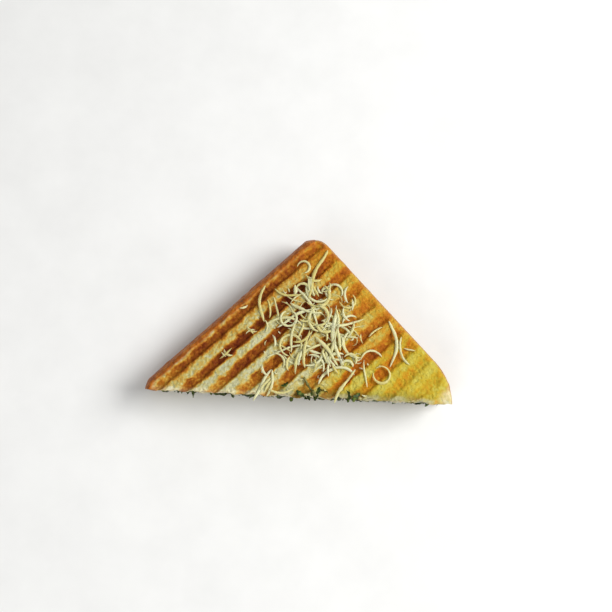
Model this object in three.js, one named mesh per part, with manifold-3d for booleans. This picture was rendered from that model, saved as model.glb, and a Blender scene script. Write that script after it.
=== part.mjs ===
// Half of a toasted cheese sandwich, cut corner to corner and laid flat. Sizes are in millimetres.
// X runs along the cut, Y from the cut to the square corner, and Z up from the table.
// A place on the bread is also given as its distance in from the two crusts that meet at the
// square corner: fromBase, in from the loaf's flat base crust (the left leg), and fromSide, in
// from the loaf's side crust (the right leg).

import * as THREE from 'three';
import { mergeVertices } from 'three/addons/utils/BufferGeometryUtils.js';
import Module from 'manifold-3d';

const wasm = await Module();
wasm.setup();

// The bread: a square slice, with tight corners at the loaf's base and broad shoulders at its top.
const SLICE_SIDE = 112;
const BASE_CORNER_RADIUS = 9;
const SHOULDER_RADIUS = 28;
const CUT_TO_CORNER = SLICE_SIDE / Math.SQRT2;

// Heights of the layers, at the pressed crusts. Towards the middle the top slice is lifted.
const BOTTOM_SLICE_TOP = 9.5;
const FILLING_TOP_AT_CRUST = 12;
const TOP_SLICE_AT_CRUST = 8.5;
const MIDDLE_LIFT = 5;
const LIFT_REACH = 34;
const GAP = 0.3;
const OUTER_TOP_AT_CRUST = FILLING_TOP_AT_CRUST + GAP + TOP_SLICE_AT_CRUST;

// The crust's rounded edge: how far in it stands, from the widest line to the toasted face.
const CRUST_EDGE_WIDTH = 4.2;
const CRUST_WIDEST_BELOW_FACE = 4.3;
const CRUST_INSETS = [
  { rise: -4.4, inset: 1.1 },
  { rise: -2.4, inset: 0.2 },
  { rise: 0, inset: 0 },
  { rise: 1.7, inset: 0.4 },
  { rise: 3.1, inset: 1.3 },
  { rise: 4.2, inset: 2.7 },
  { rise: 4.9, inset: CRUST_EDGE_WIDTH },
];

// The grill's bars press straight grooves beside the base crust, all along the slice.
const GRILL_FIRST = 6;
const GRILL_PITCH = 9.25;
const GRILL_BARS = 11;
const GRILL_MOUTH = 5.2;
const GRILL_FLOOR = 2.8;
const GRILL_DEPTH = 1.7;
const UNDERSIDE_GRILL_DEPTH = 1.4;
const GRILL_FADE_FROM = 52;
const GRILL_FADE_TO = 100;

// The knife leans a little, so the cut runs in under the top slice.
const CUT_LEAN = 3;
const CUT_ROUGHNESS = 0.45;

// The green filling stops short of the crusts, and scraps of leaf stick out of the cut.
const FILLING_SETBACK = 3.4;
const FILLING_WAVE = 1.1;
const FILLING_CUT_WAVE = 0.8;
const LEAF_SCRAPS = 12;
const LEAF_ACROSS = 92;
const LEAF_LENGTH = 7;
const LEAF_THICKNESS = 0.7;

// The grated cheese. Each strand is [middle x, middle y, heading, length, turn, thickness]:
// the heading at its middle and its whole turn are in degrees, and its bend is even.
const PLACED_STRANDS = [
  [1.0, 58.0, -109, 26.1, 4, 1.9],
  [-23.9, 42.5, -89, 18.5, 55, 1.5],
  [-12.9, 47.4, -14, 12.3, 65, 1.2],
  [3.9, 45.3, 45, 20.2, 194, 1.4],
  [11.0, 28.1, -83, 27.5, 23, 1.9],
  [9.5, 21.8, -101, 13.1, 26, 1.4],
  [-2.6, 21.7, -99, 18.0, 66, 1.5],
  [38.5, 26.7, -87, 23.4, -51, 1.6],
  [42.6, 23.2, -74, 14.9, 88, 1.3],
  [27.5, 21.3, 14, 13.5, -143, 1.2],
  [25.3, 12.0, -82, 13.3, 26, 1.1],
  [18.9, 19.0, -27, 10.1, -200, 1.2],
  [15.7, 5.8, -120, 18.7, 26, 1.5],
  [-21.7, 4.4, -117, 16.8, 16, 1.6],
  [-17.6, 5.2, -98, 13.0, -40, 1.3],
  [-13.0, 1.8, 2, 12.2, 67, 1.2],
  [-38.3, 18.1, -37, 6.1, 120, 1.2],
  [-27.9, 29.5, -30, 6.2, 110, 1.2],
  [-32.0, 40.5, 24, 4.6, 60, 1.2],
  [-0.4, 55.0, -16, 9.2, 115, 1.4],
  [-11.0, 35.4, 0, 21.0, 330, 1.2],
  [3.5, 37.5, 90, 24.0, 300, 1.3],
  [33.3, 11.6, 60, 22.5, 330, 1.2],
  [-4.5, 61.5, -40, 13, -260, 1.2],
  [7.5, 21.5, -50, 17.5, -5, 1.6],
];
const SCATTERED_STRANDS = 32;
const HEAP_CENTRE = { x: 5, y: 32 };
const HEAP_REACH = { x: 20, y: 23 };
const HEAP_HEIGHT = 3.6;
const CORE_SHARE = 0.5;
const CORE_RADIUS = 9.5;
const STRAND_LENGTH = { least: 8, most: 25 };
const STRAND_TURN = { least: 20, most: 300 };
const STRAND_THICKNESS = { least: 1, most: 1.6 };
const STRAND_SIDES = 4;
const STRAND_STEP = 2.9;
const STRAND_FLATNESS = 0.75;
const STRAND_BENDS_PAST = 0.6;
const STRAND_DROOP = 0.25;
const TOUCHING_VOLUME = 0.15;
const SUNK_IN_BREAD = 0.4;
const SETTLING = [1, 0.75, 0.5, 0.25, 0];

// A stem of herb that lies beside the cheese, at the cut, measured as a strand is.
const HERB_STEM = [0.1, 4.4, -55, 10.9, 10, 1.5];

const GOLDEN = 0.6180339887;

// ---- helpers ----

const smooth = (from, to, value) => THREE.MathUtils.smoothstep(value, from, to);
const between = (range, share) => range.least + (range.most - range.least) * share;

// An even spread over 0 to 1, and a seeded draw that has its own value for each index and kind.
const spread = (index) => (0.5 + index * GOLDEN) % 1;
const draw = (index, kind) => {
  const wide = Math.sin(index * 12.9898 + kind * 78.233) * 43758.5453;
  return wide - Math.floor(wide);
};

function crustDistances(x, y) {
  const sum = (CUT_TO_CORNER - y) * Math.SQRT2;
  const difference = x * Math.SQRT2;
  return { fromBase: (sum + difference) / 2, fromSide: (sum - difference) / 2 };
}

function planPoint(fromBase, fromSide) {
  return {
    x: (fromBase - fromSide) / Math.SQRT2,
    y: CUT_TO_CORNER - (fromBase + fromSide) / Math.SQRT2,
  };
}

// Turns merged points and triangles into a solid, with its faces pointing out.
function toManifold(positions, triangles) {
  let sixVolumes = 0;
  const corner = (index) => new THREE.Vector3().fromArray(positions, 3 * index);
  for (let i = 0; i < triangles.length; i += 3) {
    const [a, b, c] = [corner(triangles[i]), corner(triangles[i + 1]), corner(triangles[i + 2])];
    sixVolumes += a.dot(b.cross(c));
  }
  const triVerts = Uint32Array.from(triangles);
  if (sixVolumes < 0) triVerts.reverse();
  const vertProperties = Float32Array.from(positions);
  return new wasm.Manifold(new wasm.Mesh({ numProp: 3, vertProperties, triVerts }));
}

function geometryToManifold(geometry) {
  geometry.deleteAttribute('normal');
  geometry.deleteAttribute('uv');
  const merged = mergeVertices(geometry, 1e-4);
  return toManifold(merged.attributes.position.array, merged.index.array);
}

// The outermost shell alone: hollows that joining sealed are filled, and loose scraps dropped.
function wholePiece(solid) {
  return solid.decompose().reduce((best, shell) => (shell.volume() > best.volume() ? shell : best));
}

function toGeometry(solid) {
  const mesh = solid.getMesh();
  const geometry = new THREE.BufferGeometry();
  geometry.setAttribute('position', new THREE.BufferAttribute(mesh.vertProperties, 3));
  geometry.setIndex(new THREE.BufferAttribute(mesh.triVerts, 1));
  geometry.computeVertexNormals();
  return geometry;
}

// A block between two sheets of the same grid: near(i, j) and far(i, j) give their points.
function blockBetween(rows, columns, near, far) {
  const positions = [];
  const triangles = [];
  const at = (sheet, i, j) => (sheet * rows + i) * columns + j;
  for (const sheetPoint of [near, far]) {
    for (let i = 0; i < rows; i++) {
      for (let j = 0; j < columns; j++) positions.push(...sheetPoint(i, j));
    }
  }
  const quad = (a, b, c, d) => triangles.push(a, b, c, a, c, d);
  for (let i = 0; i + 1 < rows; i++) {
    for (let j = 0; j + 1 < columns; j++) {
      quad(at(0, i, j), at(0, i + 1, j), at(0, i + 1, j + 1), at(0, i, j + 1));
      quad(at(1, i, j), at(1, i, j + 1), at(1, i + 1, j + 1), at(1, i + 1, j));
    }
  }
  for (let i = 0; i + 1 < rows; i++) {
    const last = columns - 1;
    quad(at(0, i, 0), at(1, i, 0), at(1, i + 1, 0), at(0, i + 1, 0));
    quad(at(0, i, last), at(0, i + 1, last), at(1, i + 1, last), at(1, i, last));
  }
  for (let j = 0; j + 1 < columns; j++) {
    const last = rows - 1;
    quad(at(0, 0, j), at(0, 0, j + 1), at(1, 0, j + 1), at(1, 0, j));
    quad(at(0, last, j), at(1, last, j), at(1, last, j + 1), at(0, last, j + 1));
  }
  return toManifold(positions, triangles);
}

// Everything between the surface height(fromBase, fromSide) and the level farZ.
function reliefBlock(height, baseStops, sideStops, farZ) {
  const place = (i, j, z) => {
    const { x, y } = planPoint(baseStops[i], sideStops[j]);
    return [x, y, z];
  };
  return blockBetween(
    baseStops.length,
    sideStops.length,
    (i, j) => place(i, j, height(baseStops[i], sideStops[j])),
    (i, j) => place(i, j, farZ),
  );
}

function evenStops(from, to, step) {
  const count = Math.ceil((to - from) / step);
  return Array.from({ length: count + 1 }, (_, i) => from + ((to - from) * i) / count);
}

// ---- the bread's form ----

// The lift of the top slice over its filling: none at the crusts, all of it in the middle.
function middleLift(fromBase, fromSide) {
  return MIDDLE_LIFT * smooth(-6, LIFT_REACH, fromBase) * smooth(-6, LIFT_REACH, fromSide);
}

// A long soft unevenness that no pressed slice is without.
function unevenness(fromBase, fromSide) {
  return 0.3 * Math.sin(fromBase / 11 + 0.8) * Math.sin(fromSide / 13 + 0.4);
}

function ridgeHeight(fromBase, fromSide) {
  return OUTER_TOP_AT_CRUST + middleLift(fromBase, fromSide) + unevenness(fromBase, fromSide);
}

// How deep the grill has pressed: full by the base crust, fading towards the far shoulder.
function grillStrength(fromBase, fromSide) {
  const alongSlice = 1 - 0.75 * smooth(GRILL_FADE_FROM, GRILL_FADE_TO, fromBase);
  return alongSlice * smooth(0.5, 7, fromSide);
}

// 1 on the floor of a groove, 0 on the ridges, straight down its two sides.
function grooveShape(fromBase) {
  const bar = Math.round((fromBase - GRILL_FIRST) / GRILL_PITCH);
  const nearest = THREE.MathUtils.clamp(bar, 0, GRILL_BARS - 1);
  const offCentre = Math.abs(fromBase - GRILL_FIRST - nearest * GRILL_PITCH);
  const side = (GRILL_MOUTH / 2 - offCentre) / ((GRILL_MOUTH - GRILL_FLOOR) / 2);
  return THREE.MathUtils.clamp(side, 0, 1);
}

function toastedHeight(fromBase, fromSide) {
  const groove = GRILL_DEPTH * grillStrength(fromBase, fromSide) * grooveShape(fromBase);
  return ridgeHeight(fromBase, fromSide) - groove;
}

// Rows at each groove's two mouths and two floor edges, and one along the ridge between.
function grillStops() {
  const stops = [-3, 0];
  for (let bar = 0; bar < GRILL_BARS; bar++) {
    const centre = GRILL_FIRST + bar * GRILL_PITCH;
    for (const across of [-GRILL_MOUTH, -GRILL_FLOOR, GRILL_FLOOR, GRILL_MOUTH]) {
      stops.push(centre + across / 2);
    }
  }
  stops.push(SLICE_SIDE + 3);
  return stops;
}

// The outline of the square slice, drawn in by an inset, with its four corners rounded.
function sliceOutline(inset) {
  const far = SLICE_SIDE;
  const corners = [
    { fromBase: 0, fromSide: 0, radius: BASE_CORNER_RADIUS, start: Math.PI },
    { fromBase: far, fromSide: 0, radius: SHOULDER_RADIUS, start: 1.5 * Math.PI },
    { fromBase: far, fromSide: far, radius: SHOULDER_RADIUS, start: 0 },
    { fromBase: 0, fromSide: far, radius: BASE_CORNER_RADIUS, start: 0.5 * Math.PI },
  ];
  const steps = 8;
  const outline = [];
  for (const corner of corners) {
    const centreBase = corner.fromBase + Math.sign(far / 2 - corner.fromBase) * corner.radius;
    const centreSide = corner.fromSide + Math.sign(far / 2 - corner.fromSide) * corner.radius;
    for (let i = 0; i <= steps; i++) {
      const angle = corner.start + (i / steps) * 0.5 * Math.PI;
      const reach = corner.radius - inset;
      const fromBase = centreBase + reach * Math.cos(angle);
      const fromSide = centreSide + reach * Math.sin(angle);
      outline.push(planPoint(fromBase, fromSide));
    }
  }
  return outline;
}

// The crust: rings of that outline, one above the other, closed by a fan at each end.
function crustWall(rings) {
  const outlines = rings.map((ring) => sliceOutline(ring.inset));
  const around = outlines[0].length;
  const positions = [];
  const triangles = [];
  rings.forEach((ring, level) => {
    for (const point of outlines[level]) positions.push(point.x, point.y, ring.z);
  });
  for (let level = 0; level + 1 < rings.length; level++) {
    for (let i = 0; i < around; i++) {
      const next = (i + 1) % around;
      const [a, b] = [level * around + i, level * around + next];
      triangles.push(a, b, b + around, a, b + around, a + around);
    }
  }
  const ends = [0, rings.length - 1];
  for (const level of ends) {
    const centre = positions.length / 3;
    positions.push(0, 0, rings[level].z);
    for (let i = 0; i < around; i++) {
      const pair = [level * around + i, level * around + ((i + 1) % around)];
      if (level === 0) pair.reverse();
      triangles.push(pair[0], pair[1], centre);
    }
  }
  return toManifold(positions, triangles);
}

// The side of the cut that is kept. Its face leans and is a little torn, in its own way for each
// layer, and lies forward by the given distance.
function keptSide(forward, roughness, phase) {
  const acrossStops = evenStops(-90, 90, 4.5);
  const heightStops = [-5, 3, 8, 13, 18, 24, 40];
  const faceY = (x, z) => {
    const lean = CUT_LEAN * (1 - z / OUTER_TOP_AT_CRUST);
    const tear = Math.sin(x * 0.41 + phase) + Math.sin(x * 0.83 + 2 * phase + z * 0.35);
    return Math.max(lean, 0) - forward + 0.5 * roughness * tear;
  };
  return blockBetween(
    acrossStops.length,
    heightStops.length,
    (i, j) => [acrossStops[i], faceY(acrossStops[i], heightStops[j]), heightStops[j]],
    (i, j) => [acrossStops[i], 2 * CUT_TO_CORNER, heightStops[j]],
  );
}

// ---- the strands ----

// The strand's middle line in the plan: an arc whose heading turns evenly along its length.
function strandPlan([middleX, middleY, heading, length, turn]) {
  const steps = Math.max(3, Math.ceil(length / STRAND_STEP));
  const points = [{ x: 0, y: 0 }];
  for (let i = 0; i < steps; i++) {
    const share = (i + 0.5) / steps - 0.5;
    const angle = THREE.MathUtils.degToRad(heading + turn * share);
    const last = points[i];
    const step = length / steps;
    points.push({ x: last.x + step * Math.cos(angle), y: last.y + step * Math.sin(angle) });
  }
  const meanX = points.reduce((sum, point) => sum + point.x, 0) / points.length;
  const meanY = points.reduce((sum, point) => sum + point.y, 0) / points.length;
  return points.map((point) => ({ x: point.x - meanX + middleX, y: point.y - meanY + middleY }));
}

// Strands scattered round the heap's centre, closest together in the middle.
function scatteredStrand(index) {
  const around = 2 * Math.PI * spread(index);
  const out = draw(index, 1) ** 0.7;
  return [
    HEAP_CENTRE.x + HEAP_REACH.x * out * Math.cos(around),
    HEAP_CENTRE.y + HEAP_REACH.y * out * Math.sin(around),
    360 * draw(index, 2),
    between(STRAND_LENGTH, draw(index, 3)),
    between(STRAND_TURN, draw(index, 4) ** 1.5),
    between(STRAND_THICKNESS, draw(index, 5)),
  ];
}

// The heap's height over the ridges, falling away evenly from its centre.
function heapHeight(x, y) {
  const across = (x - HEAP_CENTRE.x) / HEAP_REACH.x;
  const along = (y - HEAP_CENTRE.y) / HEAP_REACH.y;
  return HEAP_HEIGHT * Math.exp(-2.2 * (across * across + along * along));
}

// The level that a strand lies on: the ridges, and the rounded edge near the crusts.
function restLevel(x, y) {
  const { fromBase, fromSide } = crustDistances(x, y);
  const nearest = THREE.MathUtils.clamp(Math.min(fromBase, fromSide), 0, CRUST_EDGE_WIDTH);
  const drop = CRUST_WIDEST_BELOW_FACE * (1 - nearest / CRUST_EDGE_WIDTH) ** 3;
  return ridgeHeight(fromBase, fromSide) - drop;
}

// A strand as a strip swept along its line. lift(x, y, share) is its middle's height over the
// bread, share running from 0 to 1 along it. Past the cut it bends down.
function strandSolid(strand, lift) {
  const thickness = strand[5];
  const plan = strandPlan(strand);
  const path = plan.map(({ x, y }, i) => {
    const share = i / (plan.length - 1);
    const overhang = Math.max(0, -STRAND_BENDS_PAST - y);
    const z = restLevel(x, y) + lift(x, y, share) - STRAND_DROOP * overhang * overhang;
    return new THREE.Vector3(x, y, z);
  });
  const section = new THREE.Shape();
  for (let i = 0; i < STRAND_SIDES; i++) {
    const angle = (i / STRAND_SIDES) * 2 * Math.PI;
    const x = 0.5 * thickness * STRAND_FLATNESS * Math.cos(angle);
    const y = 0.5 * thickness * Math.sin(angle);
    if (i === 0) section.moveTo(x, y);
    else section.lineTo(x, y);
  }
  section.closePath();
  const geometry = new THREE.ExtrudeGeometry(section, {
    steps: plan.length - 1,
    bevelEnabled: false,
    extrudePath: new THREE.CatmullRomCurve3(path),
  });
  return geometryToManifold(geometry);
}

// ---- the layers ----

function makeBottomSlice() {
  const rings = [
    { z: BOTTOM_SLICE_TOP + 6, inset: 1.1 },
    ...CRUST_INSETS.map((ring) => ({ z: CRUST_WIDEST_BELOW_FACE - ring.rise, inset: ring.inset })),
    { z: -8, inset: CRUST_EDGE_WIDTH },
  ];
  const pressed = (fromBase, fromSide) =>
    UNDERSIDE_GRILL_DEPTH * grillStrength(fromBase, fromSide) * grooveShape(fromBase);
  const sideStops = evenStops(-3, SLICE_SIDE + 3, 12);
  const slab = reliefBlock(pressed, grillStops(), sideStops, BOTTOM_SLICE_TOP);
  return slab.intersect(crustWall(rings)).intersect(keptSide(0, CUT_ROUGHNESS, 1.3));
}

function makeTopSlice() {
  const widest = OUTER_TOP_AT_CRUST - CRUST_WIDEST_BELOW_FACE;
  const rings = [
    { z: FILLING_TOP_AT_CRUST - 6, inset: 1.1 },
    ...CRUST_INSETS.map((ring) => ({ z: widest + ring.rise, inset: ring.inset })),
    { z: OUTER_TOP_AT_CRUST + 12, inset: CRUST_EDGE_WIDTH },
  ];
  const sideStops = evenStops(-3, SLICE_SIDE + 3, 6);
  const upper = reliefBlock(toastedHeight, grillStops(), sideStops, -1);
  const innerFace = (fromBase, fromSide) =>
    FILLING_TOP_AT_CRUST + GAP + middleLift(fromBase, fromSide);
  const stops = evenStops(-3, SLICE_SIDE + 3, 8);
  const lower = reliefBlock(innerFace, stops, stops, OUTER_TOP_AT_CRUST + 20);
  const slab = upper.intersect(lower).intersect(crustWall(rings));
  return slab.intersect(keptSide(0, CUT_ROUGHNESS, 0.4));
}

// A scrap of leaf: a thin wavy strip with pointed ends, both its faces split alike.
function leafScrap(index) {
  const steps = 4;
  const x = LEAF_ACROSS * (spread(index) - 0.5);
  const turn = 1.6 * (draw(index, 6) - 0.5);
  const length = LEAF_LENGTH * (0.6 + 0.6 * draw(index, 7));
  const room = 4 * (1 - Math.abs(x) / 60);
  const z = BOTTOM_SLICE_TOP + 2.2 + room * draw(index, 8);
  const sheet = (face) => (i, j) => {
    const along = i / steps;
    const width = 1.6 * Math.sin(Math.PI * (0.12 + 0.76 * along)) * (j - 1);
    const out = (along - 0.55) * length;
    const wave = 0.5 * Math.sin(5 * along + index + j);
    return [
      x + width * Math.cos(turn) - out * Math.sin(turn),
      1.2 - out * Math.cos(turn) - width * Math.sin(turn),
      z + wave - 0.9 * along * along + (face * LEAF_THICKNESS) / 2,
    ];
  };
  return blockBetween(steps + 1, 3, sheet(1), sheet(-1));
}

function makeFilling() {
  const filled = (fromBase, fromSide) => {
    const chopped = 0.35 * Math.sin(fromBase * 0.9) * Math.sin(fromSide * 1.1 + 0.5);
    return FILLING_TOP_AT_CRUST - 0.35 + middleLift(fromBase, fromSide) + chopped;
  };
  const stops = evenStops(-3, SLICE_SIDE + 3, 8);
  const layer = reliefBlock(filled, stops, stops, BOTTOM_SLICE_TOP + GAP);
  const waves = [0, 1, 2].map((level) => ({
    z: BOTTOM_SLICE_TOP - 1 + level * 4,
    inset: FILLING_SETBACK + FILLING_WAVE * Math.sin(level * 2.1),
  }));
  waves.push({ z: 60, inset: FILLING_SETBACK });
  let filling = layer.intersect(crustWall(waves)).intersect(keptSide(0.6, FILLING_CUT_WAVE, 2.7));
  for (let index = 0; index < LEAF_SCRAPS; index++) filling = filling.add(leafScrap(index));
  return wholePiece(filling);
}

// The heap's core: a low uneven pad of cheese under the strands, clear of the bread. Its edge
// is lobed, and it is steep there, so that it has no thin rim.
function makeCore() {
  const padUnder = (fromBase, fromSide) => ridgeHeight(fromBase, fromSide) + GAP;
  const padTop = (fromBase, fromSide) => {
    const { x, y } = planPoint(fromBase, fromSide);
    const [across, along] = [x - HEAP_CENTRE.x, y - HEAP_CENTRE.y];
    const angle = Math.atan2(along, across);
    const edge = CORE_RADIUS * (1 + 0.2 * Math.sin(3 * angle + 1) + 0.14 * Math.sin(5 * angle));
    const share = Math.hypot(across, along) / edge;
    const bumps = 0.3 * Math.sin(x * 0.9) * Math.sin(y * 1.1);
    const thickness = CORE_SHARE * HEAP_HEIGHT * (1 - share ** 4) + bumps;
    return padUnder(fromBase, fromSide) + Math.max(thickness, -1);
  };
  const middle = crustDistances(HEAP_CENTRE.x, HEAP_CENTRE.y);
  const reach = 1.4 * CORE_RADIUS;
  const baseStops = evenStops(middle.fromBase - reach, middle.fromBase + reach, 2.6);
  const sideStops = evenStops(middle.fromSide - reach, middle.fromSide + reach, 2.6);
  const under = reliefBlock(padUnder, baseStops, sideStops, 60);
  const over = reliefBlock(padTop, baseStops, sideStops, 0);
  return wholePiece(over.intersect(under));
}

// Each strand starts at its own level in the heap and settles until it touches the heap, which
// it joins. One that touches nothing is pressed into the bread, if it is clear of the heap, and
// so is the herb's stem.
function layStrands(breadTop) {
  const strands = [...PLACED_STRANDS, HERB_STEM];
  for (let index = 0; index < SCATTERED_STRANDS; index++) strands.push(scatteredStrand(index));
  let heap = makeCore();
  let bread = breadTop;
  let apart = strands.map((strand, index) => ({ strand, layer: spread(index) }));
  const inHeap = (strand, layer) => strandSolid(strand, (x, y, share) => {
    const arch = 0.7 * layer * Math.sin(Math.PI * share);
    return GAP + 0.5 * strand[5] + 0.8 * layer * heapHeight(x, y) + arch;
  });
  const joinsHeap = (strand, layer) => {
    const solid = inHeap(strand, layer);
    if (heap.intersect(solid).volume() < TOUCHING_VOLUME) return false;
    heap = heap.add(solid);
    return true;
  };
  for (let pass = 0; pass < 2; pass++) {
    apart = apart.filter(({ strand, layer }) =>
      !SETTLING.some((settled) => joinsHeap(strand, layer * settled)));
  }
  const onBread = (strand, extra) => {
    const thick = [...strand.slice(0, 5), strand[5] + extra];
    return strandSolid(thick, () => 0.5 * STRAND_FLATNESS * strand[5] - SUNK_IN_BREAD);
  };
  for (const { strand } of apart) {
    const isClear = heap.intersect(onBread(strand, 2.5 * GAP)).volume() === 0;
    if (isClear) bread = bread.add(onBread(strand, 0));
  }
  return { heap: wholePiece(heap), bread: wholePiece(bread) };
}

// ---- the sandwich ----

function namedMesh(name, solid, colour, roughness) {
  const material = new THREE.MeshStandardMaterial({ color: colour, roughness, metalness: 0 });
  const mesh = new THREE.Mesh(toGeometry(solid), material);
  mesh.name = name;
  return mesh;
}

const { heap, bread } = layStrands(makeTopSlice());
const group = new THREE.Group();
group.add(
  namedMesh('bread_bottom', makeBottomSlice(), 0xd0a050, 0.7),
  namedMesh('green_filling', makeFilling(), 0x35402a, 0.6),
  namedMesh('bread_top', bread, 0xd0a050, 0.7),
  namedMesh('grated_cheese', heap, 0xeee6be, 0.5),
);

// The origin goes to the middle of the underside of the whole.
const box = new THREE.Box3().setFromObject(group);
group.position.set(-(box.min.x + box.max.x) / 2, -(box.min.y + box.max.y) / 2, -box.min.z);
group.updateMatrixWorld(true);

export default group;
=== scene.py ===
import bpy
import numpy as np
from mathutils import Matrix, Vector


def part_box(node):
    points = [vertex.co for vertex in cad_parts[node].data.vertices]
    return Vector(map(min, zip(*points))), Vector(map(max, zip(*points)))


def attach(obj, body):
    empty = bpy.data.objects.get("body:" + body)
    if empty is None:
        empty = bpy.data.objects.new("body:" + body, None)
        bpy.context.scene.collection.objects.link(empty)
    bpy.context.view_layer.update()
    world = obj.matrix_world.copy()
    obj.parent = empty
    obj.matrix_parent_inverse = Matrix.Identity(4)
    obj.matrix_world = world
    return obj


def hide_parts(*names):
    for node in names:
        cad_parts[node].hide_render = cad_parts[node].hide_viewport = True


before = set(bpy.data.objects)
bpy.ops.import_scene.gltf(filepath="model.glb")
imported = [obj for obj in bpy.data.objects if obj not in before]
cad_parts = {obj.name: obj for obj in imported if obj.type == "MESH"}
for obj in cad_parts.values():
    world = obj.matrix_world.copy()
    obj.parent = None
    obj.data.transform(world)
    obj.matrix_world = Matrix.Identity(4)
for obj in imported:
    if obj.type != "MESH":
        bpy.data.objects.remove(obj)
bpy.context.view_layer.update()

# ======== The lower slice of bread ========
# One square slice of a sandwich loaf, buttered outside, browned and pressed in a ribbed grill,
# then cut corner to corner. The lower slice lies browned side down. All sizes are millimetres in
# the plan of the sandwich: x along the cut, y from the cut to the square corner, z up.

MM = 0.001
SLICE_SIDE = 112.0
BASE_CORNER_RADIUS = 9.0
SHOULDER_RADIUS = 28.0
CUT_TO_CORNER = SLICE_SIDE / np.sqrt(2)
ROUND_TRIM = np.sqrt(2) - 1
LEFT_TIP_X = -CUT_TO_CORNER + ROUND_TRIM * BASE_CORNER_RADIUS
RIGHT_TIP_X = CUT_TO_CORNER - ROUND_TRIM * SHOULDER_RADIUS
APEX_Y = CUT_TO_CORNER - ROUND_TRIM * BASE_CORNER_RADIUS

BOTTOM_SLICE_TOP = 9.5
CRUST_EDGE_WIDTH = 4.2
CRUST_EDGE_DROP = 4.3
CRUST_TUCK = 1.7
BASE_CRUST_WIDTH = 3.7
SIDE_CRUST_WIDTH = 0.6
CUT_LEAN = 3.0
OUTER_TOP_AT_CRUST = 20.8

GRILL_FIRST = 6.0
GRILL_PITCH = 9.25
GRILL_BARS = 11
GRILL_MOUTH = 5.2
GRILL_FLOOR = 2.4
UNDERSIDE_GRILL_DEPTH = 1.4

FACE_MIDDLE = (2.0, 28.0)
EDGE_STEP = 0.5
CRUST_STEP = 0.7
LEG_SQUEEZE = 24.0
CUT_SCALLOP = 0.45
CUT_TEAR = 0.22
FACE_ROWS = 118
WALL_ROWS = 24
HIDDEN_ROWS = 8

PORE_SIZE = 2.4
PORE_RELIEF = 0.22
PIT_SIZE = 1.5
PIT_DEPTH = 0.35
HOLE_SIZE = 3.0
HOLE_DEPTH = 1.3
SMALL_HOLE_SIZE = 1.5
SMALL_HOLE_DEPTH = 0.8
CRUMB_RELIEF = 0.5

top_low, top_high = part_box("bread_top")
PLAN_ORIGIN = np.array([
    (top_low.x + top_high.x) / 2 / MM - (LEFT_TIP_X + RIGHT_TIP_X) / 2,
    top_high.y / MM - APEX_Y,
    0.0,
])


def step_between(low, high, value):
    """0 below low, 1 above high, and a smooth S-curve between them."""
    share = np.clip((value - low) / (high - low), 0.0, 1.0)
    return share * share * (3.0 - 2.0 * share)


def grain(points, size, seed):
    """Smooth random grain, -1 to 1: random numbers on a cubic lattice, blended across each cell.

    The lattice is turned askew, so that its cells don't line up with the cut or the table.
    """
    askew = np.array([[0.36, 0.48, -0.8], [-0.8, 0.6, 0.0], [0.48, 0.64, 0.6]])
    place = points @ askew / size
    cell = np.floor(place).astype(np.int64)
    inside = place - cell
    inside = inside * inside * (3.0 - 2.0 * inside)
    total = np.zeros(len(points))
    for corner in np.ndindex(2, 2, 2):
        at = (cell + corner) * (73856093, 19349663, 83492791)
        key = (at[:, 0] ^ at[:, 1] ^ at[:, 2]) + seed * 668265263
        key = ((key ^ (key >> 13)) * 1274126177) & 0xFFFFFFFF
        key = ((key ^ (key >> 15)) * 2246822519) & 0xFFFFFFFF
        value = ((key ^ (key >> 16)) & 0xFFFF) / 32767.5 - 1.0
        weight = np.prod(np.where(corner, inside, 1.0 - inside), axis=1)
        total += weight * value
    return total


def rough_grain(points, size, seed, layers=3):
    """Grain at a size, half the size, a quarter of it and so on, each half as strong."""
    return sum(grain(points, size / 2 ** k, seed + k) / 2 ** k for k in range(layers))


def crust_distances(x, y):
    """How far in a place is from the base crust (the left leg) and the side crust (the right)."""
    down = (CUT_TO_CORNER - y) * np.sqrt(2)
    across = x * np.sqrt(2)
    return (down + across) / 2, (down - across) / 2


def edge_distance(x, y):
    """How far in a place is from the nearest crust, with the slice's corners rounded."""
    base, side = crust_distances(x, y)
    distance = np.minimum(base, side)
    corners = (
        (base, side, BASE_CORNER_RADIUS),
        (base, SLICE_SIDE - side, BASE_CORNER_RADIUS),
        (side, SLICE_SIDE - base, SHOULDER_RADIUS),
    )
    for first, second, radius in corners:
        inside = (first < radius) & (second < radius)
        rounded = radius - np.hypot(radius - first, radius - second)
        distance = np.where(inside, rounded, distance)
    return np.maximum(distance, 0.0)


def edge_drop(distance):
    """The rounding of the pressed edge: the whole drop at the crust, falling off as a cube."""
    return CRUST_EDGE_DROP * (1.0 - np.clip(distance / CRUST_EDGE_WIDTH, 0.0, 1.0)) ** 3


def off_bar(base):
    """Which grill bar is nearest, and how far a place is from the middle of its groove."""
    bar = np.clip(np.round((base - GRILL_FIRST) / GRILL_PITCH), 0, GRILL_BARS - 1)
    return bar, np.abs(base - GRILL_FIRST - bar * GRILL_PITCH)


def groove_depth(x, y, points):
    """1 on a groove's floor, 0 on the ridges, with soft wandering sides, fading to the shoulder."""
    base, side = crust_distances(x, y)
    _, off = off_bar(base)
    off = off + 0.35 * grain(points, 4.0, 11)
    sides = step_between(0.0, 1.0, (GRILL_MOUTH / 2 - off) / ((GRILL_MOUTH - GRILL_FLOOR) / 2))
    return sides * (1.0 - 0.75 * step_between(52.0, 100.0, base)) * step_between(0.5, 7.0, side)


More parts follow.
